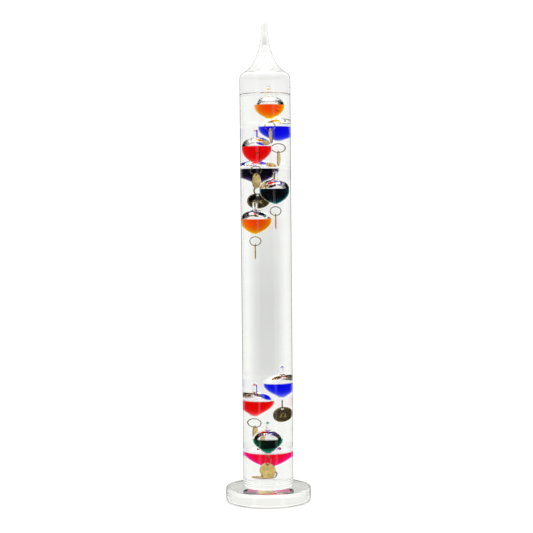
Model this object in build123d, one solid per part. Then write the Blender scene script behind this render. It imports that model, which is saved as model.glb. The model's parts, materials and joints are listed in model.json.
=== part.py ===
from build123d import *
import math
import os

# A ten-float galileo thermometer: a sealed glass tube of clear liquid on a glass disc.
# Millimetres, +Z up, origin at the centre of the disc's underside.

# ---------------------------------------------------------------- stand
BASE_R = 39.25
BASE_H = 13.2
BASE_TOP_FILLET = 1.2
BASE_FOOT_FILLET = 1.8
BOND_R = 18.0
BOND_T = 0.2

# ---------------------------------------------------------------- tube
TUBE_R = 23.25
TUBE_WALL = 1.85
TUBE_CORNER_R = 4.5
BORE_CORNER_R = 7.0
FLOOR_T = 4.2
WALL_TOP_Z = 388.0
SHOULDER_R = 7.0
SHOULDER_TURN = math.radians(63.8)
SPIRE_GUIDES = [(11.5, 398.1), (5.2, 409.0)]
SPIRE_BASE_Z = 430.0
SPIRE_R = 3.0
SPIRE_TIP_R = 2.8
TUBE_TOP_Z = 440.0
CAVITY_GUIDES = [(11.4, 396.6), (4.6, 406.0)]
CAVITY_NECK_Z = 412.0
CAVITY_NECK_R = 2.2
CAVITY_TOP_Z = 418.0
CAVITY_TIP_R = 1.2

# ---------------------------------------------------------------- liquid
LIQUID_TOP_Z = 374.5
LIQUID_GAP = 0.06
FLOAT_GAP = 0.12

# ---------------------------------------------------------------- glass float
BULB_R = 11.75
BULB_WALL = 0.6
DOME_H = 9.2
TAIL_R = 2.0
TAIL_H = 9.2
TAIL_TIP_T = 1.6
DYE_LEVEL = 0.9
DYE_GAP = 0.08
EYE_WIRE_R = 0.45
EYE_HOLE_R = 1.1
EYE_SUNK = 0.1

# Points that shape a float's side, as shares of its radius and of its bowl's depth or dome's height.
NIPPLE_TIP = (0.16, -1.0)
NIPPLE = (0.22, -0.94)
BOWL_GUIDES = [(0.30, -0.80), (1.0, -0.50)]
DOME_GUIDES = [(1.0, 0.50), (0.62, 0.90)]
DOME_RIM = (0.34, 0.96)
NECK_GUIDE = (0.24, 0.975)
NECK_FOOT_RISE = 0.3
NECK_RISE = 2.0

# ---------------------------------------------------------------- ring and tag
RING_R = 3.97
RING_WIRE_R = 0.35
RING_SLIT = 0.25
RING_SLIT_ANGLE = 160.0
TAG_R = 7.0
TAG_T = 0.8
TAG_EDGE = 0.15
TAG_HOLE_R = 0.95
TAG_HOLE_INSET = 2.1
HANG_GAP = 0.08

# Each float: name, centre of its widest section (x, y, z), depth of its bowl below that
# section, headings of its ring's plane and its tag's plane, and lean of the tag, in degrees.
FLOATS = [
    ("01", 3.4, -8.6, 362.9, 12.5, 20, -78, -32),
    ("02", 7.3, 5.6, 343.7, 12.6, -1, 95, 0),
    ("03", -7.0, -6.3, 325.6, 15.0, -12, 58, 0),
    ("04", -4.4, 8.3, 305.5, 13.2, 108, 26, 0),
    ("05", 6.9, -6.4, 287.0, 13.4, 5, 98, 0),
    ("06", -7.6, -4.0, 259.4, 13.1, 0, 84, 0),
    ("07", 8.8, 2.7, 108.1, 12.8, 102, 40, 0),
    ("08", -7.6, 4.9, 91.8, 13.8, -29, 69, 0),
    ("09", -0.2, -9.0, 58.0, 12.8, 60, -32, 0),
    ("10", 0.4, 9.3, 42.5, 12.6, 0, -90, 0),
]

# The lowest float's tag lies flat above the tube's floor, on the side of its ring.
FLAT_TAG_FLOAT = "10"
FLAT_TAG_ROUND = math.radians(52.0)

# ---------------------------------------------------------------- derived places
BORE_R = TUBE_R - TUBE_WALL
TUBE_FOOT_Z = BASE_H + BOND_T
FLOOR_Z = TUBE_FOOT_Z + FLOOR_T
EYE_R = EYE_HOLE_R + EYE_WIRE_R
EYE_BELOW = EYE_R - EYE_SUNK
RING_TOP_BELOW = EYE_BELOW + EYE_HOLE_R - RING_WIRE_R - HANG_GAP
HOLE_BELOW_WIRE = TAG_HOLE_R - RING_WIRE_R - HANG_GAP
TAG_BELOW_HOLE = TAG_R - TAG_HOLE_INSET


def xz(x, z):
    return Vector(x, 0, z)


def corner_arc(centre_x, centre_z, radius, start, end):
    """Arc of a circle in the XZ plane between two angles, in radians from +X."""
    turns = (start, (start + end) / 2, end)
    points = [xz(centre_x + radius * math.cos(t), centre_z + radius * math.sin(t)) for t in turns]
    return ThreePointArc(*points)


def revolved(edges):
    """Solid of revolution about Z from a closed outline in the XZ plane."""
    return revolve(make_face(Wire(edges)), axis=Axis.Z, revolution_arc=360)


# ---------------------------------------------------------------- stand
def make_base_disc():
    disc = Cylinder(BASE_R, BASE_H, align=(Align.CENTER, Align.CENTER, Align.MIN))
    top_rim = disc.edges().filter_by(GeomType.CIRCLE).sort_by(Axis.Z)[-1]
    disc = fillet(top_rim, BASE_TOP_FILLET)
    foot_rim = disc.edges().filter_by(GeomType.CIRCLE).sort_by(Axis.Z)[0]
    return fillet(foot_rim, BASE_FOOT_FILLET)


def make_bond_film():
    film = Cylinder(BOND_R, BOND_T, align=(Align.CENTER, Align.CENTER, Align.MIN))
    return Pos(0, 0, BASE_H) * film


# ---------------------------------------------------------------- tube
def tube_outline(radius, corner, floor_z, shoulder, spire_guides, spire_r, spire_z, tip_r, top_z):
    """Round-cornered tube that turns over a shoulder into a drawn-out spire."""
    wall_z = floor_z + corner
    turned_x = radius - shoulder * (1 - math.cos(SHOULDER_TURN))
    turned_z = WALL_TOP_Z + shoulder * math.sin(SHOULDER_TURN)
    guides = [xz(x, z) for x, z in spire_guides]
    return [
        Line(xz(0, floor_z), xz(radius - corner, floor_z)),
        corner_arc(radius - corner, wall_z, corner, -math.pi / 2, 0),
        Line(xz(radius, wall_z), xz(radius, WALL_TOP_Z)),
        corner_arc(radius - shoulder, WALL_TOP_Z, shoulder, 0, SHOULDER_TURN),
        Bezier(xz(turned_x, turned_z), *guides, xz(spire_r, spire_z)),
        Line(xz(spire_r, spire_z), xz(tip_r, top_z - tip_r)),
        corner_arc(0, top_z - tip_r, tip_r, 0, math.pi / 2),
        Line(xz(0, top_z), xz(0, floor_z)),
    ]


def make_tube():
    outer = tube_outline(
        TUBE_R, TUBE_CORNER_R, TUBE_FOOT_Z, SHOULDER_R,
        SPIRE_GUIDES, SPIRE_R, SPIRE_BASE_Z, SPIRE_TIP_R, TUBE_TOP_Z,
    )
    cavity = tube_outline(
        BORE_R, BORE_CORNER_R, FLOOR_Z, SHOULDER_R - TUBE_WALL,
        CAVITY_GUIDES, CAVITY_NECK_R, CAVITY_NECK_Z, CAVITY_TIP_R, CAVITY_TOP_Z,
    )
    return revolved(outer) - revolved(cavity)


# ---------------------------------------------------------------- floats
def bulb_outline(bowl, inset, tail_top):
    """Turnip-shaped bulb with a finger-like tail on top, inset from the glass's outer skin."""
    a = BULB_R - inset
    b = bowl - inset
    d = DOME_H - inset
    tail_r = TAIL_R - inset
    nipple_tip, nipple = [xz(x * a, z * b) for x, z in (NIPPLE_TIP, NIPPLE)]
    bowl_guides = [xz(x * a, z * b) for x, z in BOWL_GUIDES]
    dome_guides = [xz(x * a, z * d) for x, z in DOME_GUIDES]
    rim, neck_guide = [xz(x * a, z * d) for x, z in (DOME_RIM, NECK_GUIDE)]
    neck = xz(tail_r, d + NECK_RISE)
    return [
        Bezier(xz(0, -b), nipple_tip, nipple),
        Bezier(nipple, *bowl_guides, xz(a, 0)),
        Bezier(xz(a, 0), *dome_guides, rim),
        Bezier(rim, neck_guide, xz(tail_r, d + NECK_FOOT_RISE), neck),
        Line(neck, xz(tail_r, tail_top - tail_r)),
        corner_arc(0, tail_top - tail_r, tail_r, 0, math.pi / 2),
        Line(xz(0, tail_top), xz(0, -b)),
    ]


def upright_loop(radius, wire_r):
    """Wire loop in the XZ plane, its hole along Y."""
    return Rot(90, 0, 0) * Torus(radius, wire_r)


def make_bulb(bowl):
    """Blown glass float, sealed at the tail, with a small glass eye under its nipple."""
    skin = revolved(bulb_outline(bowl, 0, DOME_H + TAIL_H))
    hollow = revolved(bulb_outline(bowl, BULB_WALL, DOME_H + TAIL_H - TAIL_TIP_T))
    eye = Pos(0, 0, -bowl - EYE_BELOW) * upright_loop(EYE_R, EYE_WIRE_R)
    return skin + eye - hollow


def make_dye(bowl):
    """The coloured liquid that half fills a float, level at its top."""
    inset = BULB_WALL + DYE_GAP
    full = revolved(bulb_outline(bowl, inset, DOME_H + TAIL_H - TAIL_TIP_T))
    kept = Cylinder(2 * BULB_R, 2 * BULB_R, align=(Align.CENTER, Align.CENTER, Align.MAX))
    return full & (Pos(0, 0, DYE_LEVEL) * kept)


def make_ring():
    """Open jump ring in the YZ plane, its top wire at the origin."""
    ring = Rot(0, 90, 0) * Torus(RING_R, RING_WIRE_R)
    slit = Pos(0, RING_R, 0) * Box(4 * RING_WIRE_R, 4 * RING_WIRE_R, RING_SLIT)
    ring = ring - Rot(RING_SLIT_ANGLE, 0, 0) * slit
    return Pos(0, 0, -RING_R) * ring


def make_tag():
    """Stamped brass disc in the XZ plane, hanging below its hole at the origin."""
    disc = Cylinder(TAG_R, TAG_T)
    disc = fillet(disc.edges().filter_by(GeomType.CIRCLE), TAG_EDGE)
    disc = disc - Pos(0, TAG_BELOW_HOLE, 0) * Cylinder(TAG_HOLE_R, 2 * TAG_T)
    return Pos(0, 0, -TAG_BELOW_HOLE) * (Rot(90, 0, 0) * disc)


def ring_frame(bowl):
    """Place of the ring's top wire below the float's centre."""
    return Pos(0, 0, -bowl - RING_TOP_BELOW)


def tag_frame(name, yaw, lean):
    """Place of the tag's hole, seen from the ring's top wire."""
    if name == FLAT_TAG_FLOAT:
        sideways = -RING_R * math.sin(FLAT_TAG_ROUND)
        below = RING_R * (1 + math.cos(FLAT_TAG_ROUND))
        return Pos(0, sideways, -below) * Rot(0, 0, -90) * Rot(90, 0, 0)
    hang = Pos(0, 0, -HOLE_BELOW_WIRE) * Rot(0, 0, yaw)
    return Pos(0, 0, -2 * RING_R) * Rot(0, lean, 0) * hang


def float_envelope(bowl, ring_place, tag_place):
    """The room that a float, its ring and its tag take in the liquid."""
    room = revolved(bulb_outline(bowl, -FLOAT_GAP, DOME_H + TAIL_H + FLOAT_GAP))
    eye = Cylinder(EYE_R + EYE_WIRE_R + FLOAT_GAP, 2 * (EYE_WIRE_R + FLOAT_GAP))
    room = room + Pos(0, 0, -bowl - EYE_BELOW) * (Rot(90, 0, 0) * eye)
    ring = Cylinder(RING_R + RING_WIRE_R + FLOAT_GAP, 2 * (RING_WIRE_R + FLOAT_GAP))
    room = room + ring_place * (Pos(0, 0, -RING_R) * (Rot(0, 90, 0) * ring))
    tag = Cylinder(TAG_R + FLOAT_GAP, TAG_T + 2 * FLOAT_GAP)
    return room + ring_place * tag_place * (Pos(0, 0, -TAG_BELOW_HOLE) * (Rot(90, 0, 0) * tag))


def make_float_parts():
    """Every float's four pieces in place, and the rooms they take in the liquid."""
    parts = {}
    rooms = []
    for name, x, y, z, bowl, ring_heading, tag_heading, lean in FLOATS:
        turn = ring_heading - 90
        place = Pos(x, y, z) * Rot(0, 0, turn)
        ring_place = ring_frame(bowl)
        tag_place = tag_frame(name, tag_heading - turn, lean)
        parts["bulb_" + name] = place * make_bulb(bowl)
        parts["dye_" + name] = place * make_dye(bowl)
        parts["ring_" + name] = place * ring_place * make_ring()
        parts["tag_" + name] = place * ring_place * tag_place * make_tag()
        rooms.append(place * float_envelope(bowl, ring_place, tag_place))
    return parts, rooms


# ---------------------------------------------------------------- liquid
def make_liquid(rooms):
    """The clear liquid that fills the tube up to its level, round the floats."""
    r = BORE_R - LIQUID_GAP
    corner = BORE_CORNER_R - LIQUID_GAP
    floor_z = FLOOR_Z + LIQUID_GAP
    outline = [
        Line(xz(0, floor_z), xz(r - corner, floor_z)),
        corner_arc(r - corner, floor_z + corner, corner, -math.pi / 2, 0),
        Line(xz(r, floor_z + corner), xz(r, LIQUID_TOP_Z)),
        Line(xz(r, LIQUID_TOP_Z), xz(0, LIQUID_TOP_Z)),
        Line(xz(0, LIQUID_TOP_Z), xz(0, floor_z)),
    ]
    liquid = revolved(outline)
    for room in rooms:
        liquid = liquid - room
    return liquid


def write_parts(parts):
    os.makedirs("parts", exist_ok=True)
    for name, shape in parts.items():
        export_step(shape, os.path.join("parts", name + ".step"))


float_parts, float_rooms = make_float_parts()
thermometer = {
    "base_disc": make_base_disc(),
    "bond_film": make_bond_film(),
    "glass_tube": make_tube(),
    "clear_liquid": make_liquid(float_rooms),
}
thermometer.update(float_parts)
write_parts(thermometer)
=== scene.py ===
import json
import math

import bmesh
import bpy
from mathutils import Matrix, Vector


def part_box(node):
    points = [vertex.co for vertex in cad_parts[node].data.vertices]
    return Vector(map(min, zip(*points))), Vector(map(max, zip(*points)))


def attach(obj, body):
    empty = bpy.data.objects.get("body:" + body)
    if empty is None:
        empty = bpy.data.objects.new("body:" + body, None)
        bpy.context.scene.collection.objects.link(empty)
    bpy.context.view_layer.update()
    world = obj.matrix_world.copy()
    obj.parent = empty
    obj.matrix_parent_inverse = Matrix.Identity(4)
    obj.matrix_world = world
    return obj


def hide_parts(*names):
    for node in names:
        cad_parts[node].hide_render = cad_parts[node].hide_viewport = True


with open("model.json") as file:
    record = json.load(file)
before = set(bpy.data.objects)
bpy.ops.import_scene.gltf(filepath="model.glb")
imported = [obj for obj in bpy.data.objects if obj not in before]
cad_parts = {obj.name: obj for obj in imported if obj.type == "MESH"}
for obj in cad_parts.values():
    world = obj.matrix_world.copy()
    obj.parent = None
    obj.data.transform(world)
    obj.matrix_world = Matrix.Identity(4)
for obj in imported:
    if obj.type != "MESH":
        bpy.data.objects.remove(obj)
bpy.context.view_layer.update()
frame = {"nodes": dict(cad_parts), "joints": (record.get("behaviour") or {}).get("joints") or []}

MM = 0.001
QUARTER = math.pi / 2

# ---------------------------------------------------------------- names in the CAD model
FLOAT_NAMES = ["%02d" % (i + 1) for i in range(10)]
DYE_OF = {
    "01": "orange", "02": "blue", "03": "red", "04": "violet", "05": "teal",
    "06": "orange", "07": "blue", "08": "red", "09": "green", "10": "magenta",
}
NUMERAL_OF = {
    "01": "96", "02": "92", "03": "88", "04": "84", "05": "80",
    "06": "76", "07": "72", "08": "68", "09": "64", "10": "60",
}
# Tags 04 and 07 take a dark brass with sharp glints: painted shade, standing in for the shade of tags
# that face away from the light.
SHADED_TAGS = ("04", "07")
ROOT = "stand_and_tube"
joints = {joint["name"]: joint for joint in frame["joints"]}

# ---------------------------------------------------------------- sizes, in millimetres
BASE_TOP_FILLET = 1.2
BASE_FOOT_FILLET = 3.0
BASE_DOME = 0.6
TUBE_WALL = 1.85
TUBE_CORNER_R = 4.5
BORE_CORNER_R = 7.0
FLOOR_T = 4.2
WALL_TOP_Z = 388.0
SHOULDER_R = 7.0
SHOULDER_TURN = math.radians(63.8)
SPIRE_BASE_Z = 430.0
SPIRE_R = 3.0
SPIRE_TIP_R = 2.8
CAVITY_TOP_Z = 418.0
CAVITY_TIP_R = 1.2
CAVITY_NECK_R = 2.2
CAVITY_NECK_Z = 412.0
SPIRE_GUIDES = [(11.5, 398.1), (5.2, 409.0)]
CAVITY_GUIDES = [(11.4, 396.6), (4.6, 406.0)]
MENISCUS_H = 1.3
MENISCUS_W = 2.6
MENISCUS_CROWDING = 2.2
WALL_CLEAR = 0.03
GLUE_TURN = math.radians(-35.0)
GLUE_FOOT_R = 23.1
GLUE_GAP = 0.02
GLUE_CURL = (0.1, 0.6)
TUBE_STEPS = 192

BULB_R = 11.75
BULB_WALL = 0.32
BULB_STEPS = 96
# The guides of a float's outline are shares of its radius, and of its depth or its dome's height.
NIPPLE_TIP = (0.16, -1.0)
NIPPLE = (0.22, -0.94)
FULL_BOWL = ((0.38, -0.86), (1.0, -0.56))
ROUND_BOWL = ((0.32, -0.82), (1.0, -0.58))
PLAIN_BOWL = ((0.30, -0.80), (1.0, -0.50))
BOWL_OF = {
    "01": ROUND_BOWL, "02": FULL_BOWL, "03": FULL_BOWL, "04": PLAIN_BOWL, "05": FULL_BOWL,
    "06": FULL_BOWL, "07": PLAIN_BOWL, "08": PLAIN_BOWL, "09": PLAIN_BOWL, "10": FULL_BOWL,
}
DOME_GUIDES = ((1.0, 0.50), (0.62, 0.90))
NECK = (0.34, 0.96)
NECK_GUIDE = (0.24, 0.975)
NECK_BEND_H = 0.3
NECK_TOP_H = 2.0
DOME_H = 9.2
TAIL_R = 2.0
TAIL_H = 9.2
TAIL_TIP_T = 1.6
EYE_WIRE_R = 0.45
EYE_R = 1.55
EYE_BELOW = 1.45
EYE_REACH = EYE_BELOW + EYE_R + EYE_WIRE_R
DYE_GAP = 0.04
FILM_T = 0.04
FILM_GAP = 0.02
DYE_MENISCUS_H = 0.35
DYE_MENISCUS_W = 1.1
DROP_H = 1.9
DROP_SAG = 0.4
DROP_GUIDE = 0.6
DROP_STEPS = 48

RING_R = 3.97
RING_WIRE_R = 0.35
RING_SLIT_ANGLE = math.radians(160)
RING_SLIT = math.radians(5)

TAG_R = 7.0
TAG_EDGE = 0.12
TAG_PLATE_T = 0.56
TAG_RIM_W = 0.55
TAG_RIM_H = 0.12
TAG_HOLE_R = 0.95
HOLE_RIM_OUT = 0.45
HOLE_RIM_W = 0.4
NUMERAL_H = 5.2
NUMERAL_RAISE = 0.12
NUMERAL_DROP = 1.0
NUMERAL_BEVEL = 0.03
TAG_CREASE = math.radians(40)
PLATE_SLOT, RAISED_SLOT, EDGE_SLOT = 0, 1, 2

# ---------------------------------------------------------------- glass, liquid and dye
N_GLASS = 1.48
N_LIQUID = 1.46
N_DYE = 1.44

DYES = {
    "orange": ((0.999, 0.865, 0.0), 900.0),
    "blue": ((0.0, 0.08, 0.975), 330.0),
    "red": ((0.978, 0.0, 0.0), 420.0),
    "violet": ((0.22, 0.10, 0.40), 430.0),
    "teal": ((0.0, 0.633, 0.678), 900.0),
    "green": ((0.0, 0.7125, 0.625), 800.0),
    "magenta": ((0.996, 0.0, 0.800), 900.0),
}


# ================================================================ outlines
# An outline is a list of stretches. A stretch is (points, tangents, slot), where points
# are (radius, height) in millimetres, running from the bottom of the axis to its top.

def stretch_from(curve, count, slot):
    """Sample a curve, given as t in 0..1 -> point, with its tangents."""
    step = 1e-4
    points = []
    tangents = []
    for i in range(count + 1):
        t = i / count
        before = curve(max(0.0, t - step))
        after = curve(min(1.0, t + step))
        along = Vector((after[0] - before[0], after[1] - before[1]))
        points.append(curve(t))
        tangents.append(along.normalized())
    return points, tangents, slot


def line(start, end, slot=0, count=1):
    def curve(t):
        return (start[0] + (end[0] - start[0]) * t, start[1] + (end[1] - start[1]) * t)
    return stretch_from(curve, count, slot)


def arc(centre, radius, start, end, slot=0, count=12):
    def curve(t):
        turn = start + (end - start) * t
        return (centre[0] + radius * math.cos(turn), centre[1] + radius * math.sin(turn))
    return stretch_from(curve, count, slot)


def bezier(*guides, slot=0, count=24):
    def curve(t):
        level = [Vector(g) for g in guides]
        while len(level) > 1:
            level = [a.lerp(b, t) for a, b in zip(level, level[1:])]
        return (level[0].x, level[0].y)
    return stretch_from(curve, count, slot)


def split_at(outline, height, slot_below, slot_above):
    """Cut every stretch of an outline at a height, and give each side its own slot."""
    done = []
    for points, tangents, _ in outline:
        for i in range(len(points) - 1):
            low, high = points[i], points[i + 1]
            ends = [(low, tangents[i]), (high, tangents[i + 1])]
            if (low[1] - height) * (high[1] - height) < 0:
                share = (height - low[1]) / (high[1] - low[1])
                middle = (low[0] + (high[0] - low[0]) * share, height)
                ends.insert(1, (middle, tangents[i].lerp(tangents[i + 1], share).normalized()))
            for a, b in zip(ends, ends[1:]):
                slot = slot_above if (a[0][1] + b[0][1]) / 2 > height else slot_below
                done.append(([a[0], b[0]], [a[1], b[1]], slot))
    return done


# ================================================================ meshes
def lathe_faces(outline, steps, centre, inside_out, verts, faces, normals, slots):
    """Turn an outline about the upright line through centre, and add it to the lists."""
    def ring_of(point):
        if point[0] < 1e-6:
            verts.append((centre[0], centre[1], centre[2] + point[1] * MM))
            return [len(verts) - 1] * steps
        start = len(verts)
        for k in range(steps):
            turn = 2 * math.pi * k / steps
            verts.append((
                centre[0] + point[0] * MM * math.cos(turn),
                centre[1] + point[0] * MM * math.sin(turn),
                centre[2] + point[1] * MM,
            ))
        return list(range(start, start + steps))

    def normal(tangent, k):
        turn = 2 * math.pi * k / steps
        across, up = tangent[1], -tangent[0]
        found = Vector((across * math.cos(turn), across * math.sin(turn), up))
        return -found if inside_out else found

    last_point = None
    last_ring = None
    for points, tangents, slot in outline:
        for i, point in enumerate(points):
            if i == 0 and last_point is not None and math.dist(point, last_point) < 1e-5:
                continue
            ring = ring_of(point)
            if i > 0:
                for k in range(steps):
                    n = (k + 1) % steps
                    corners = [
                        (last_ring[k], normal(tangents[i - 1], k)),
                        (last_ring[n], normal(tangents[i - 1], k + 1)),
                        (ring[n], normal(tangents[i], k + 1)),
                        (ring[k], normal(tangents[i], k)),
                    ]
                    kept = []
                    for corner in corners:
                        if corner[0] not in [c[0] for c in kept]:
                            kept.append(corner)
                    if inside_out:
                        kept.reverse()
                    faces.append([c[0] for c in kept])
                    normals.extend(c[1] for c in kept)
                    slots.append(slot)
            last_point, last_ring = point, ring


def mesh_piece(name, verts, faces, normals, slots, materials):
    mesh = bpy.data.meshes.new(name)
    mesh.from_pydata(verts, [], faces)
    mesh.polygons.foreach_set("material_index", slots)
    mesh.polygons.foreach_set("use_smooth", [True] * len(faces))
    mesh.normals_split_custom_set(normals)
    mesh.validate(clean_customdata=False)
    for material in materials:
        mesh.materials.append(material)
    piece = bpy.data.objects.new(name, mesh)
    bpy.context.scene.collection.objects.link(piece)
    return piece


def lathe(name, shells, steps, centre, materials):
    """A piece made of shells of revolution, each (outline, inside_out)."""
    verts, faces, normals, slots = [], [], [], []
    for outline, inside_out in shells:
        lathe_faces(outline, steps, centre, inside_out, verts, faces, normals, slots)
    return mesh_piece(name, verts, faces, normals, slots, materials)


def add_wire_loop(shell, centre, across, radius, wire_r, slit_at, slit, slot):
    """Add a round wire bent to a loop in the plane of across and Z, open by slit radians."""
    verts, faces, normals, slots = shell
    up = Vector((0, 0, 1))
    side = across.cross(up)
    steps, around = 64, 12
    closed = slit == 0
    rings = []
    count = steps if closed else steps + 1
    for i in range(count):
        turn = slit_at + slit / 2 + (2 * math.pi - slit) * i / steps
        outward = across * math.cos(turn) + up * math.sin(turn)
        ring = []
        for k in range(around):
            roll = 2 * math.pi * k / around
            away = outward * math.cos(roll) + side * math.sin(roll)
            verts.append(centre + (outward * radius + away * wire_r) * MM)
            ring.append((len(verts) - 1, away))
        rings.append(ring)
    pairs = list(zip(rings, rings[1:]))
    if closed:
        pairs.append((rings[-1], rings[0]))
    for here, there in pairs:
        for k in range(around):
            n = (k + 1) % around
            corners = [here[k], there[k], there[n], here[n]]
            faces.append([c[0] for c in corners])
            normals.extend(c[1] for c in corners)
            slots.append(slot)
    if not closed:
        for ring, order in ((rings[0], 1), (rings[-1], -1)):
            corners = ring[::order]
            faces.append([c[0] for c in corners])
            flat = (verts[corners[1][0]] - verts[corners[0][0]]).cross(
                verts[corners[2][0]] - verts[corners[1][0]]).normalized()
            normals.extend([flat] * len(corners))
            slots.append(slot)


# ================================================================ materials
class NodeTree:
    """Helpers for the nodes of a material or of the world."""

    def __init__(self, tree):
        self.nodes = tree.nodes
        self.links = tree.links

    def connect(self, value, socket):
        """Link a socket to this one, or give it a plain value."""
        if isinstance(value, bpy.types.NodeSocket):
            self.links.new(value, socket)
        else:
            socket.default_value = value

    def node(self, kind, inputs=None, **settings):
        made = self.nodes.new(kind)
        for setting, value in settings.items():
            setattr(made, setting, value)
        for socket, value in (inputs or {}).items():
            self.connect(value, made.inputs[socket])
        return made

    def ramp(self, factor, *stops):
        """A colour ramp of (position, colour) stops."""
        made = self.node("ShaderNodeValToRGB", {"Fac": factor})
        elements = made.color_ramp.elements
        while len(elements) < len(stops):
            elements.new(0.5)
        for element, (position, colour) in zip(elements, stops):
            element.position = position
            element.color = (*colour, 1.0)
        return made.outputs["Color"]

    def mix(self, factor, first, second, blend="MIX"):
        """Blend two colours, each a socket or three plain values."""
        made = self.node("ShaderNodeMix", data_type="RGBA", blend_type=blend)
        self.connect(factor, made.inputs[0])
        for socket, colour in ((6, first), (7, second)):
            plain = isinstance(colour, tuple)
            self.connect((*colour, 1.0) if plain else colour, made.inputs[socket])
        return made.outputs[2]


class Shader(NodeTree):
    """A Principled material, with helpers for the nodes that give it detail."""

    def __init__(self, name, **values):
        self.material = bpy.data.materials.new(name)
        self.material.use_nodes = True
        super().__init__(self.material.node_tree)
        self.bsdf = self.nodes["Principled BSDF"]
        for socket, value in values.items():
            self.bsdf.inputs[socket.replace("_", " ")].default_value = value
        self.place = self.nodes.new("ShaderNodeTexCoord").outputs["Object"]

    def stretched(self, scale, turn=(0, 0, 0)):
        mapping = self.node("ShaderNodeMapping", {"Vector": self.place, "Scale": scale, "Rotation": turn})
        return mapping.outputs["Vector"]

    def noise(self, scale, detail=3.0, roughness=0.5, vector=None):
        return self.node("ShaderNodeTexNoise", {
            "Vector": vector or self.place, "Scale": scale, "Detail": detail, "Roughness": roughness,
        }).outputs["Fac"]

    def spread(self, factor, low, high):
        """Map 0.3..0.7 of a noise onto low..high."""
        made = self.node("ShaderNodeMapRange", {
            "Value": factor, "From Min": 0.3, "From Max": 0.7, "To Min": low, "To Max": high,
        })
        return made.outputs["Result"]

    def bump(self, height, strength, distance, normal=None):
        inputs = {"Height": height, "Strength": strength, "Distance": distance}
        if normal:
            inputs["Normal"] = normal
        return self.node("ShaderNodeBump", inputs).outputs["Normal"]

    def cloudy(self, tint, scale, share):
        """Feed a tint that drifts, in soft clouds, down to a share of itself."""
        cloud = self.noise(scale, detail=2.0, roughness=0.5)
        deeper = tuple(value * share for value in tint)
        self.feed("Base Color", self.ramp(cloud, (0.35, tint), (0.65, deeper)))

    def feed(self, socket, value):
        self.links.new(value, self.bsdf.inputs[socket])


def clear(name, ior, tint, ripple_scale, ripple, smear=0.0):
    """Clear glass or liquid: faint ripples, faint changes of tint, and a little haze."""
    shader = Shader(name, Transmission_Weight=1.0, IOR=ior, Roughness=0.0)
    drawn = shader.stretched((1.0, 1.0, 0.25))
    wave = shader.noise(ripple_scale, detail=2.0, roughness=0.4, vector=drawn)
    shader.cloudy(tint, ripple_scale * 0.5, 0.992)
    shader.feed("Normal", shader.bump(wave, 1.0, ripple))
    if smear:
        film = shader.noise(ripple_scale * 2.5, detail=4.0, roughness=0.6)
        shader.feed("Roughness", shader.spread(film, 0.0, smear))
    return shader.material


def absorbing(name, tint, colour, density):
    """A body of liquid whose own surfaces are met by other pieces: it only takes up light."""
    shader = Shader(name, Transmission_Weight=1.0, IOR=1.0, Roughness=0.0)
    shader.cloudy(tint, 60.0, 0.98)
    volume = shader.node("ShaderNodeVolumeAbsorption", {"Color": (*colour, 1.0), "Density": density})
    output = shader.nodes["Material Output"]
    shader.links.new(volume.outputs["Volume"], output.inputs["Volume"])
    return shader.material


def brass(name, bright, dull, tarnish, roughness, hatch=0.0):
    """Lacquered brass: cloudy tarnish, fine scratches, and on a tag a slanting hatch."""
    shader = Shader(name, Metallic=1.0, Roughness=roughness)
    cloud = shader.noise(260.0, detail=4.0, roughness=0.6)
    patch = shader.ramp(cloud, (0.32, dull), (0.62, bright))
    spots = shader.noise(900.0, detail=3.0, roughness=0.6)
    stained = shader.mix(shader.spread(spots, 0.0, tarnish), patch, dull)
    drawn = shader.stretched((1.0, 1.0, 9.0), (0.5, 0.6, 0.4))
    scratch = shader.noise(700.0, detail=3.0, roughness=0.6, vector=drawn)
    shader.feed("Roughness", shader.spread(cloud, roughness * 1.35, roughness * 0.75))
    surface = shader.bump(scratch, 0.35, 0.00004)
    if hatch:
        slanted = shader.stretched((1.0, 1.0, 1.0), (0.0, math.radians(45), 0.0))
        lines = shader.node("ShaderNodeTexWave", {
            "Vector": slanted, "Scale": hatch, "Distortion": 0.4, "Detail": 1.0, "Detail Scale": 2.0,
        }, bands_direction="X").outputs["Fac"]
        grooves = shader.ramp(lines, (0.1, (0.45,) * 3), (0.55, (0.0,) * 3))
        stained = shader.mix(grooves, stained, dull)
        surface = shader.bump(lines, 0.6, 0.00012, surface)
    shader.feed("Base Color", stained)
    shader.feed("Normal", surface)
    return shader.material


GLASS_TINT = (0.992, 0.996, 0.992)
FOOT_TINT = (0.965, 0.972, 0.952)
BOND_TINT = (0.97, 0.975, 0.96)
BULB_TINT = (0.995, 0.995, 0.992)
LIQUID_TINT = (0.995, 0.996, 0.992)
DYE_TOP_TINT = (0.99, 0.99, 0.99)
BODY_TINT = (0.999, 0.999, 0.998)
DYE_BODY_TINT = (0.999, 0.999, 0.999)
LIQUID_ABSORBS = (0.40, 0.52, 0.34)
NO_BEND = 1.0
N_WET_GLASS = N_GLASS / N_LIQUID
N_DYED_GLASS = N_GLASS / N_DYE

glass_outside = clear("glass_outside", N_GLASS, GLASS_TINT, ripple_scale=22.0, ripple=0.00006, smear=0.02)
glass_dry_inside = clear("glass_dry_inside", N_GLASS, GLASS_TINT, ripple_scale=22.0, ripple=0.00005)
glass_wet_inside = clear("glass_wet_inside", N_WET_GLASS, GLASS_TINT, ripple_scale=22.0, ripple=0.00005)
glass_bonded = clear("glass_bonded", NO_BEND, GLASS_TINT, ripple_scale=60.0, ripple=0.00001)
foot_glass = clear("foot_glass_clear", N_GLASS, FOOT_TINT, ripple_scale=14.0, ripple=0.00005, smear=0.02)
bond_edge = clear("bond_edge", N_GLASS, BOND_TINT, ripple_scale=90.0, ripple=0.00003, smear=0.05)
liquid_top = clear("liquid_top", N_LIQUID, LIQUID_TINT, ripple_scale=30.0, ripple=0.00002)
liquid_side = clear("liquid_side", NO_BEND, LIQUID_TINT, ripple_scale=30.0, ripple=0.00001)
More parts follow.
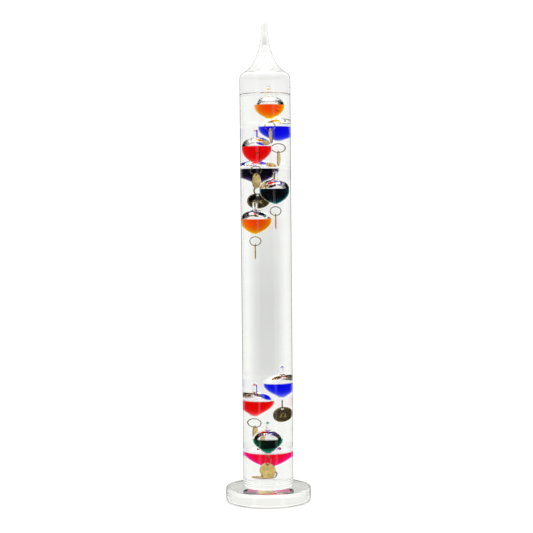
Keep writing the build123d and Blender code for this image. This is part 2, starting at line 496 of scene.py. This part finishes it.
bulb_wet = clear("bulb_wet", N_WET_GLASS, BULB_TINT, ripple_scale=70.0, ripple=0.00008)
bulb_dry = clear("bulb_dry", N_GLASS, BULB_TINT, ripple_scale=70.0, ripple=0.00006)
bulb_at_dye = clear("bulb_at_dye", N_DYED_GLASS, BULB_TINT, ripple_scale=70.0, ripple=0.00005)
dye_top = clear("dye_top", N_DYE, DYE_TOP_TINT, ripple_scale=120.0, ripple=0.00001)
liquid_body = absorbing("liquid_body", BODY_TINT, LIQUID_ABSORBS, density=0.8)
DYE_MATERIALS = {
    name: absorbing("dye_" + name, DYE_BODY_TINT, colour, density)
    for name, (colour, density) in DYES.items()
}
ring_brass = brass(
    "ring_brass", bright=(0.34, 0.25, 0.11), dull=(0.07, 0.05, 0.025), tarnish=0.7, roughness=0.22)
tag_brass = brass(
    "tag_brass_hatched", bright=(1.0, 0.80, 0.30), dull=(0.60, 0.42, 0.13), tarnish=0.30,
    roughness=0.40, hatch=330.0)
numeral_brass = brass(
    "numeral_brass", bright=(1.0, 0.82, 0.36), dull=(0.60, 0.44, 0.15), tarnish=0.25, roughness=0.32)
# Painted shade: dark copies of the tag brass and numeral brass, for the tags that face away from the
# light.
shade_painted_tag_brass = brass(
    "shade_painted_tag_brass", bright=(0.12, 0.09, 0.035), dull=(0.015, 0.012, 0.006), tarnish=0.9, roughness=0.12)
shade_painted_numeral_brass = brass(
    "shade_painted_numeral_brass", bright=(0.60, 0.47, 0.17), dull=(0.14, 0.11, 0.04), tarnish=0.5, roughness=0.16)
# Painted shade: a dark brass for the rims of the tags, which look dark where a tag is seen edge on.
tag_edge_brass = brass(
    "tag_edge_brass", bright=(0.20, 0.15, 0.06), dull=(0.03, 0.02, 0.01), tarnish=0.6, roughness=0.20)


# ================================================================ foot and tube
def place(piece, body, slot, *nodes):
    """The piece rides on a body and stands for these CAD nodes, which are hidden. The slot is not used.
    """
    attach(piece, body)
    if nodes:
        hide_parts(*nodes)


def size_of(node):
    """(lowest z, highest z, radius) of a round CAD node, in millimetres."""
    low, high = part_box(node)
    return low.z / MM, high.z / MM, (high.x - low.x) / 2 / MM


foot_box_low, foot_box_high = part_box("base_disc")
BASE = ((foot_box_low.x + foot_box_high.x) / 2, (foot_box_low.y + foot_box_high.y) / 2, 0.0)
base_low, base_high, base_r = size_of("base_disc")
bond_low, bond_high, _ = size_of("bond_film")
tube_low, tube_high, tube_r = size_of("glass_tube")
_, liquid_high, _ = size_of("clear_liquid")

foot_x = base_r - BASE_FOOT_FILLET
foot_z = base_low + BASE_FOOT_FILLET
edge_x = base_r - BASE_TOP_FILLET
edge_z = base_high - BASE_DOME - BASE_TOP_FILLET
base_outline = [
    line((0, base_low), (foot_x, base_low), 0, 6),
    arc((foot_x, foot_z), BASE_FOOT_FILLET, -QUARTER, 0),
    line((base_r, foot_z), (base_r, edge_z)),
    arc((edge_x, edge_z), BASE_TOP_FILLET, 0, QUARTER),
    line((edge_x, base_high - BASE_DOME), (GLUE_FOOT_R, base_high), 0, 4),
    line((GLUE_FOOT_R, base_high), (0, base_high), 1),
]
base_piece = lathe(
    "base_disc_glass", [(base_outline, False)], TUBE_STEPS, BASE, [foot_glass, glass_bonded])
place(base_piece, ROOT, "foot_glass", "base_disc")

corner_x = tube_r - TUBE_CORNER_R
corner_z = tube_low + TUBE_CORNER_R
glue_corner = TUBE_CORNER_R + GLUE_GAP
glue_low = bond_low + GLUE_GAP
glue_top = (corner_x + glue_corner * math.cos(GLUE_TURN), corner_z + glue_corner * math.sin(GLUE_TURN))
glue_guide = (glue_top[0] - GLUE_CURL[0], glue_low + GLUE_CURL[1])
bond_outline = [
    line((0, glue_low), (GLUE_FOOT_R, glue_low), 1),
    bezier((GLUE_FOOT_R, glue_low), glue_guide, glue_top, count=8),
    arc((corner_x, corner_z), glue_corner, GLUE_TURN, -QUARTER, 1),
    line((corner_x, bond_high - GLUE_GAP), (0, bond_high - GLUE_GAP), 1),
]
bond_piece = lathe(
    "bond_film_clear", [(bond_outline, False)], TUBE_STEPS, BASE, [bond_edge, glass_bonded])
place(bond_piece, ROOT, "bond", "bond_film")


def tube_outline(radius, corner, floor, shoulder, guides, neck_r, neck_z, tip_r, top, glued_turn):
    """A closed tube: flat floor, round corner, straight wall, shoulder, and a drawn-out spire.
    Its floor, and its corner up to glued_turn, are met by glue."""
    turn_end = (
        radius - shoulder + shoulder * math.cos(SHOULDER_TURN),
        WALL_TOP_Z + shoulder * math.sin(SHOULDER_TURN),
    )
    return [
        line((0, floor), (radius - corner, floor), 1, 2),
        arc((radius - corner, floor + corner), corner, -QUARTER, glued_turn, 1, 12),
        arc((radius - corner, floor + corner), corner, glued_turn, 0, 0, 12),
        line((radius, floor + corner), (radius, WALL_TOP_Z), 0, 60),
        arc((radius - shoulder, WALL_TOP_Z), shoulder, 0, SHOULDER_TURN, 0, 14),
        bezier(turn_end, *guides, (neck_r, neck_z), slot=0, count=40),
        line((neck_r, neck_z), (tip_r, top - tip_r), 0, 4),
        arc((0, top - tip_r), tip_r, 0, QUARTER, 0, 12),
    ]


outer = tube_outline(
    tube_r, TUBE_CORNER_R, tube_low, SHOULDER_R, SPIRE_GUIDES,
    SPIRE_R, SPIRE_BASE_Z, SPIRE_TIP_R, tube_high, GLUE_TURN)
inner = tube_outline(
    tube_r - TUBE_WALL, BORE_CORNER_R, tube_low + FLOOR_T, SHOULDER_R - TUBE_WALL,
    CAVITY_GUIDES, CAVITY_NECK_R, CAVITY_NECK_Z, CAVITY_TIP_R, CAVITY_TOP_Z, -QUARTER / 2)
inner = split_at(inner, liquid_high, 2, 3)
tube_piece = lathe(
    "glass_tube_clear", [(outer, False), (inner, True)], TUBE_STEPS, BASE,
    [glass_outside, glass_bonded, glass_wet_inside, glass_dry_inside])
place(tube_piece, ROOT, "tube_glass", "glass_tube")


# ================================================================ clear liquid
def meniscus(radius, level, height, width, slot):
    """A liquid's top from its edge, which creeps up the wall, in to the axis."""
    def curve(t):
        inward = radius * t ** MENISCUS_CROWDING
        return (radius - inward, level - height * (1 - math.exp(-inward / width)))
    return stretch_from(curve, 40, slot)


liquid_corner = BORE_CORNER_R - WALL_CLEAR
wet_r = tube_r - TUBE_WALL - WALL_CLEAR
wet_floor = tube_low + FLOOR_T + WALL_CLEAR
body_top = liquid_high - FILM_T - FILM_GAP
liquid_outline = [
    line((0, wet_floor), (wet_r - liquid_corner, wet_floor), 0, 2),
    arc((wet_r - liquid_corner, wet_floor + liquid_corner), liquid_corner, -QUARTER, 0, 0, 20),
    line((wet_r, wet_floor + liquid_corner), (wet_r, body_top), 0, 40),
    meniscus(wet_r, body_top, MENISCUS_H, MENISCUS_W, 0),
]
liquid_piece = lathe("clear_liquid_body", [(liquid_outline, False)], TUBE_STEPS, BASE, [liquid_body])
place(liquid_piece, ROOT, "clear_liquid", "clear_liquid")


def reversed_outline(outline):
    return [
        (points[::-1], [-tangent for tangent in tangents[::-1]], slot)
        for points, tangents, slot in outline[::-1]
    ]


def surface_film(radius, level, height, width):
    """The thin top skin of a liquid: a closed sheet whose upper face bends the light."""
    low = reversed_outline([meniscus(radius, level - FILM_T, height, width, 1)])
    rim = [line((radius, level - FILM_T), (radius, level), 1)]
    return low + rim + [meniscus(radius, level, height, width, 0)]


liquid_film = surface_film(wet_r, liquid_high, MENISCUS_H, MENISCUS_W)
liquid_skin = lathe(
    "clear_liquid_surface", [(liquid_film, False)], TUBE_STEPS, BASE, [liquid_top, liquid_side])
place(liquid_skin, ROOT, "clear_liquid")


# ================================================================ floats
def bulb_outline(inset, bowl, tail_top, guides):
    """A float of blown glass: round bowl, domed shoulder, and a short sealed tail."""
    belly = BULB_R - inset
    depth = bowl - inset
    dome = DOME_H - inset
    tail = TAIL_R - inset

    def below(share):
        return (share[0] * belly, share[1] * depth)

    def above(share):
        return (share[0] * belly, share[1] * dome)

    neck_top = (tail, dome + NECK_TOP_H)
    return [
        bezier((0, -depth), below(NIPPLE_TIP), below(NIPPLE), count=6),
        bezier(below(NIPPLE), below(guides[0]), below(guides[1]), (belly, 0), count=26),
        bezier((belly, 0), above(DOME_GUIDES[0]), above(DOME_GUIDES[1]), above(NECK), count=26),
        bezier(above(NECK), above(NECK_GUIDE), (tail, dome + NECK_BEND_H), neck_top, count=10),
        line(neck_top, (tail, tail_top - tail), 0, 3),
        arc((0, tail_top - tail), tail, 0, QUARTER, 0, 8),
    ]


def cut_below(outline, height):
    """The part of an outline that lies below a height, and its radius there."""
    kept = []
    for points, tangents, slot in split_at(outline, height, 0, 1):
        if slot == 0:
            kept.append((points, tangents, slot))
    return kept, kept[-1][0][-1][0]


def heading_vector(joint):
    return Vector(joint["axis"]).normalized()


def make_float(name):
    """A float's glass, its dye with a thin skin on top, and the drop of dye left in its tail."""
    low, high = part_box("bulb_" + name)
    ring_joint = joints["ring_swing_" + name]
    pivot = Vector(ring_joint["pos_m"])
    tail_top = DOME_H + TAIL_H
    equator = high.z - tail_top * MM
    bowl = (equator - low.z) / MM - EYE_REACH
    level = (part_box("dye_" + name)[1].z - equator) / MM
    here = (pivot.x, pivot.y, equator)

    guides = BOWL_OF[name]
    above_liquid = liquid_high - equator / MM
    cavity_top = tail_top - TAIL_TIP_T
    outside = split_at(bulb_outline(0.0, bowl, tail_top, guides), above_liquid, 0, 3)
    inside = split_at(bulb_outline(BULB_WALL, bowl, cavity_top, guides), level, 1, 2)
    shell = ([], [], [], [])
    lathe_faces(outside, BULB_STEPS, here, False, *shell)
    lathe_faces(inside, BULB_STEPS, here, True, *shell)
    eye_centre = Vector(here) - Vector((0, 0, (bowl + EYE_BELOW) * MM))
    eye_across = heading_vector(ring_joint).cross(Vector((0, 0, 1)))
    add_wire_loop(shell, eye_centre, eye_across, EYE_R, EYE_WIRE_R, 0.0, 0.0, 0)
    bulb = mesh_piece("bulb_%s_glass" % name, *shell, [bulb_wet, bulb_at_dye, bulb_dry, bulb_dry])
    place(bulb, "glass_body_" + name, "float_glass", "bulb_" + name)

    slot = "dye_" + DYE_OF[name]
    colour = [DYE_MATERIALS[DYE_OF[name]]]
    cavity = bulb_outline(BULB_WALL + DYE_GAP, bowl, cavity_top, guides)
    dye_top_z = level - FILM_T - FILM_GAP
    body_outline, brim = cut_below(cavity, dye_top_z)
    body_outline.append(meniscus(brim, dye_top_z, DYE_MENISCUS_H, DYE_MENISCUS_W, 0))
    dye = lathe("dye_%s_body" % name, [(body_outline, False)], BULB_STEPS, here, colour)
    place(dye, "dye_body_" + name, slot, "dye_" + name)
    brim = cut_below(cavity, level)[1]
    film = surface_film(brim, level, DYE_MENISCUS_H, DYE_MENISCUS_W)
    skin = lathe("dye_%s_surface" % name, [(film, False)], BULB_STEPS, here, [dye_top, liquid_side])
    place(skin, "dye_body_" + name, slot)

    drop_r = TAIL_R - BULB_WALL - DYE_GAP
    drop_top = cavity_top - DYE_GAP
    drop_low = drop_top - DROP_H
    drop_outline = [
        bezier((0, drop_low), (DROP_GUIDE * drop_r, drop_low), (drop_r, drop_low - DROP_SAG), count=8),
        line((drop_r, drop_low - DROP_SAG), (drop_r, drop_top - drop_r)),
        arc((0, drop_top - drop_r), drop_r, 0, QUARTER, 0, 8),
    ]
    drop = lathe("dye_%s_drop" % name, [(drop_outline, False)], DROP_STEPS, here, colour)
    place(drop, "glass_body_" + name, slot)


def make_ring(name):
    """An open jump ring that hangs from the glass eye."""
    ring_joint = joints["ring_swing_" + name]
    across = heading_vector(ring_joint)
    shell = ([], [], [], [])
    centre = Vector(ring_joint["pos_m"]) - Vector((0, 0, RING_R * MM))
    add_wire_loop(shell, centre, across, RING_R, RING_WIRE_R, RING_SLIT_ANGLE, RING_SLIT, 0)
    ring = mesh_piece("ring_%s_wire" % name, *shell, [ring_brass])
    place(ring, "ring_body_" + name, "ring_wire", "ring_" + name)


def make_disc(radius, thickness, hole_r, hole_up, bevel):
    """Mesh of a round plate in the XZ plane, bored with a hole, its edges rounded."""
    curve = bpy.data.curves.new("plate", "CURVE")
    curve.dimensions = "2D"
    curve.fill_mode = "BOTH"
    curve.resolution_u = 24
    curve.extrude = (thickness / 2 - bevel) * MM
    curve.bevel_depth = bevel * MM
    curve.bevel_resolution = 2
    for round_r, up in ((radius - bevel, 0.0), (hole_r + bevel, hole_up)):
        spline = curve.splines.new("BEZIER")
        spline.bezier_points.add(3)
        spline.use_cyclic_u = True
        handle = round_r * 4 / 3 * math.tan(math.pi / 8)
        for k, point in enumerate(spline.bezier_points):
            turn = QUARTER * k
            spot = Vector((math.cos(turn) * round_r, math.sin(turn) * round_r + up, 0.0))
            along = Vector((-math.sin(turn) * handle, math.cos(turn) * handle, 0.0))
            point.co = spot * MM
            point.handle_left = (spot - along) * MM
            point.handle_right = (spot + along) * MM
    return mesh_of(bpy.data.objects.new("plate", curve))


def mesh_of(shape):
    """A plain mesh of a curve or text object, its plane turned upright."""
    bpy.context.scene.collection.objects.link(shape)
    bpy.context.view_layer.update()
    graph = bpy.context.evaluated_depsgraph_get()
    mesh = bpy.data.meshes.new_from_object(shape.evaluated_get(graph))
    mesh.transform(Matrix.Rotation(QUARTER, 4, "X"))
    data = shape.data
    bpy.data.objects.remove(shape)
    bpy.data.curves.remove(data)
    return mesh


def numeral_mesh(text):
    """The raised numerals of one face of a tag."""
    curve = bpy.data.curves.new("numerals", "FONT")
    curve.body = text
    curve.size = NUMERAL_H * MM
    curve.align_x = "CENTER"
    curve.align_y = "CENTER"
    curve.extrude = NUMERAL_RAISE * MM
    curve.bevel_depth = NUMERAL_BEVEL * MM
    curve.resolution_u = 6
    return mesh_of(bpy.data.objects.new("numerals", curve))


def rim_mesh(radius, width, height, z_out, up=0.0):
    """A half-round raised border on one face of a tag."""
    verts, faces = [], []
    steps, around = 96, 8
    for i in range(steps):
        turn = 2 * math.pi * i / steps
        for k in range(around):
            roll = 2 * math.pi * k / around
            r = radius + width / 2 * math.cos(roll)
            y = z_out + height * math.sin(roll)
            verts.append((r * math.cos(turn) * MM, y * MM, (r * math.sin(turn) + up) * MM))
    for i in range(steps):
        for k in range(around):
            n = (i + 1) % steps
            m = (k + 1) % around
            faces.append((i * around + k, i * around + m, n * around + m, n * around + k))
    mesh = bpy.data.meshes.new("border")
    mesh.from_pydata(verts, [], faces)
    return mesh


def plane_of_tag(name):
    """(right, normal, up, centre, hole) of a tag: its normal is that of its largest face."""
    mesh = frame["nodes"]["tag_" + name].data
    hole = Vector(joints["tag_swing_" + name]["pos_m"])
    low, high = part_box("tag_" + name)
    widest = max(mesh.polygons, key=lambda face: face.area)
    normal = widest.normal.normalized()
    centre = (low + high) / 2
    up = hole - centre
    up = (up - normal * up.dot(normal)).normalized()
    if normal.y > 0.05 or (abs(normal.y) <= 0.05 and normal.z < -0.5):
        normal = -normal
    return normal.cross(-up).normalized(), normal, up, centre, hole


def make_tag(name):
    """A tag: bored plate, raised borders, and raised numerals on both faces."""
    right, normal, up, centre, hole = plane_of_tag(name)
    lift = (hole - centre).dot(up) / MM
    plate = make_disc(TAG_R, TAG_PLATE_T, TAG_HOLE_R, lift, TAG_EDGE)
    mesh = bpy.data.meshes.new("tag_%s_brass" % name)
    parts = [(plate, PLATE_SLOT)]
    border_at = TAG_R - TAG_RIM_W / 2 - TAG_EDGE
    for side in (1, -1):
        face_at = side * TAG_PLATE_T / 2
        parts.append((rim_mesh(border_at, TAG_RIM_W, TAG_RIM_H, face_at), RAISED_SLOT))
        hole_rim = rim_mesh(TAG_HOLE_R + HOLE_RIM_OUT, HOLE_RIM_W, TAG_RIM_H, face_at, lift)
        parts.append((hole_rim, RAISED_SLOT))
        numerals = numeral_mesh(NUMERAL_OF[name])
        turn = Matrix.Identity(4) if side == -1 else Matrix.Rotation(math.pi, 4, "Z")
        drop = Matrix.Translation(Vector((0, face_at, -NUMERAL_DROP)) * MM)
        numerals.transform(drop @ turn)
        parts.append((numerals, RAISED_SLOT))
    build = bmesh.new()
    for part, slot in parts:
        first = len(build.faces)
        build.from_mesh(part)
        build.faces.ensure_lookup_table()
        for face in build.faces[first:]:
            face.normal_update()
            # The plate's rim faces take the dark brass of the edge slot: painted shade.
            on_edge = slot == PLATE_SLOT and abs(face.normal.y) < 0.5
            face.material_index = EDGE_SLOT if on_edge else slot
            face.smooth = True
        bpy.data.meshes.remove(part)
    build.to_mesh(mesh)
    build.free()
    mesh.set_sharp_from_angle(angle=TAG_CREASE)
    # Tags that face away from the light get the dark brass of painted shade.
    in_painted_shade = name in SHADED_TAGS
    mesh.materials.append(shade_painted_tag_brass if in_painted_shade else tag_brass)
    mesh.materials.append(shade_painted_numeral_brass if in_painted_shade else numeral_brass)
    mesh.materials.append(tag_edge_brass)
    tag = bpy.data.objects.new(mesh.name, mesh)
    bpy.context.scene.collection.objects.link(tag)
    basis = Matrix((right, -normal, up)).transposed().to_4x4()
    tag.matrix_world = Matrix.Translation(centre) @ basis
    place(tag, "tag_body_" + name, "tag_brass", "tag_" + name)


for name in FLOAT_NAMES:
    make_float(name)
    make_ring(name)
    make_tag(name)


# ================================================================ floor, light and camera
FLOOR_R = 1.1
FLOOR_Z = -0.0002
FLOOR_STEPS = 96

# Greys of the studio. BACKDROP, DIM_ROOM and INNER_ROOM go by height, from straight down at 0 to
# straight up at 1. SIDES, EDGE and STRIPS go by how far sideways, and CAMERA_SIDE by how far
# towards the front.
WARMTH = 0.992
BACKDROP = (
    (0.40, 1.0), (0.425, 0.98), (0.437, 0.76), (0.4625, 0.73), (0.488, 0.83), (0.503, 0.95),
    (0.530, 1.0), (0.552, 0.90), (0.9, 0.94))
SIDES = ((0.20, 0.0), (0.55, 1.0), (0.80, 1.0), (0.97, 0.0))
EDGE = ((0.88, 1.0), (0.99, 0.55))
STRIPS = ((0.50, 0.0), (0.56, 0.9), (0.66, 0.9), (0.72, 0.0))
DIM_ROOM = ((0.30, 0.30), (0.42, 0.05), (0.60, 0.06), (0.80, 0.9), (0.95, 1.0))
INNER_ROOM = ((0.30, 1.0), (0.46, 0.94), (0.60, 0.94), (0.80, 1.1), (0.95, 1.2))
CAMERA_SIDE = ((0.80, 1.0), (0.96, 0.85))
SOFTBOX_WHITE = (1.04, 1.04, 1.03)
PLAIN_WHITE = (1.08, 1.08, 1.08)

LAMP_SIZE = 1.6
LAMP_POWER = 24.0
LAMP_AT = (0.0, -0.2, 1.9)

CAMERA_AT = (0.0, -1.2416, 0.2794)
CAMERA_LENS = 91.2
CAMERA_SENSOR = 36.0
CAMERA_DOWN = math.radians(2.9)
CAMERA_ROLL = math.radians(-0.52)
LIGHT_BOUNCES = 40
GLOSSY_BOUNCES = 24


def make_floor():
    """A round white table top. Straight views see it; refractions and reflections don't."""
    turns = [2 * math.pi * k / FLOOR_STEPS for k in range(FLOOR_STEPS)]
    mesh = bpy.data.meshes.new("floor")
    verts = [(FLOOR_R * math.cos(t), FLOOR_R * math.sin(t), FLOOR_Z) for t in turns]
    mesh.from_pydata(verts, [], [list(range(FLOOR_STEPS))])
    shader = Shader("floor_white", Roughness=0.6)
    shader.bsdf.inputs["Specular IOR Level"].default_value = 0.15
    cloud = shader.noise(3.0, detail=3.0, roughness=0.5)
    shader.feed("Base Color", shader.ramp(cloud, (0.3, (0.90, 0.90, 0.90)), (0.7, (0.93, 0.93, 0.93))))
    mesh.materials.append(shader.material)
    floor = bpy.data.objects.new("floor", mesh)
    bpy.context.scene.collection.objects.link(floor)
    floor.visible_transmission = False
    floor.visible_glossy = False


def make_world():
    """A white studio. Straight views see plain white. Light that has passed through glass sees a
    backdrop with a grey band, between two side softboxes. Reflections off the outside see a dim
    room with two strip lights, and reflections met after passing glass see a bright room."""
    world = bpy.data.worlds.new("studio")
    bpy.context.scene.world = world
    world.use_nodes = True
    tree = NodeTree(world.node_tree)

    def math_of(kind, *values):
        return tree.node("ShaderNodeMath", dict(enumerate(values)), operation=kind).outputs[0]

    def grey(factor, stops):
        return tree.ramp(factor, *((at, (shade, shade, shade * WARMTH)) for at, shade in stops))

    direction = tree.node("ShaderNodeTexCoord").outputs["Generated"]
    parts = tree.node("ShaderNodeSeparateXYZ", {"Vector": direction})
    path = tree.node("ShaderNodeLightPath")
    height = math_of("MULTIPLY_ADD", parts.outputs["Z"], 0.5, 0.5)
    across = math_of("ABSOLUTE", parts.outputs["X"])
    facing = math_of("MULTIPLY", parts.outputs["Y"], -1.0)
    bounced = math_of("GREATER_THAN", path.outputs["Glossy Depth"], 0.5)
    passed = math_of("GREATER_THAN", path.outputs["Transmission Depth"], 0.5)
    indirect = math_of("MAXIMUM", bounced, passed)

    lit = tree.mix(grey(across, SIDES), grey(height, BACKDROP), SOFTBOX_WHITE)
    seen_through = tree.mix(1.0, lit, grey(across, EDGE), "MULTIPLY")
    off_surface = tree.mix(1.0, grey(height, DIM_ROOM), grey(across, STRIPS), "ADD")
    within_glass = tree.mix(1.0, grey(height, INNER_ROOM), grey(facing, CAMERA_SIDE), "MULTIPLY")
    reflected = tree.mix(passed, off_surface, within_glass)
    inside = tree.mix(bounced, seen_through, reflected)
    shown = tree.mix(indirect, PLAIN_WHITE, inside)
    tree.links.new(shown, tree.nodes["Background"].inputs["Color"])


def make_light():
    lamp = bpy.data.lights.new("overhead", "AREA")
    lamp.shape = "SQUARE"
    lamp.size = LAMP_SIZE
    lamp.energy = LAMP_POWER
    light = bpy.data.objects.new("overhead", lamp)
    light.location = LAMP_AT
    bpy.context.scene.collection.objects.link(light)


def make_camera():
    view = bpy.data.cameras.new("camera")
    view.sensor_width = CAMERA_SENSOR
    view.lens = CAMERA_LENS
    camera = bpy.data.objects.new("camera", view)
    tilt = Matrix.Rotation(QUARTER - CAMERA_DOWN, 4, "X")
    roll = Matrix.Rotation(CAMERA_ROLL, 4, "Z")
    camera.matrix_world = Matrix.Translation(CAMERA_AT) @ tilt @ roll
    bpy.context.scene.collection.objects.link(camera)
    bpy.context.scene.camera = camera


make_floor()
make_world()
make_light()
make_camera()

scene = bpy.context.scene
scene.view_settings.view_transform = "Standard"
scene.cycles.max_bounces = LIGHT_BOUNCES
scene.cycles.transmission_bounces = LIGHT_BOUNCES
scene.cycles.glossy_bounces = GLOSSY_BOUNCES
scene.cycles.transparent_max_bounces = LIGHT_BOUNCES
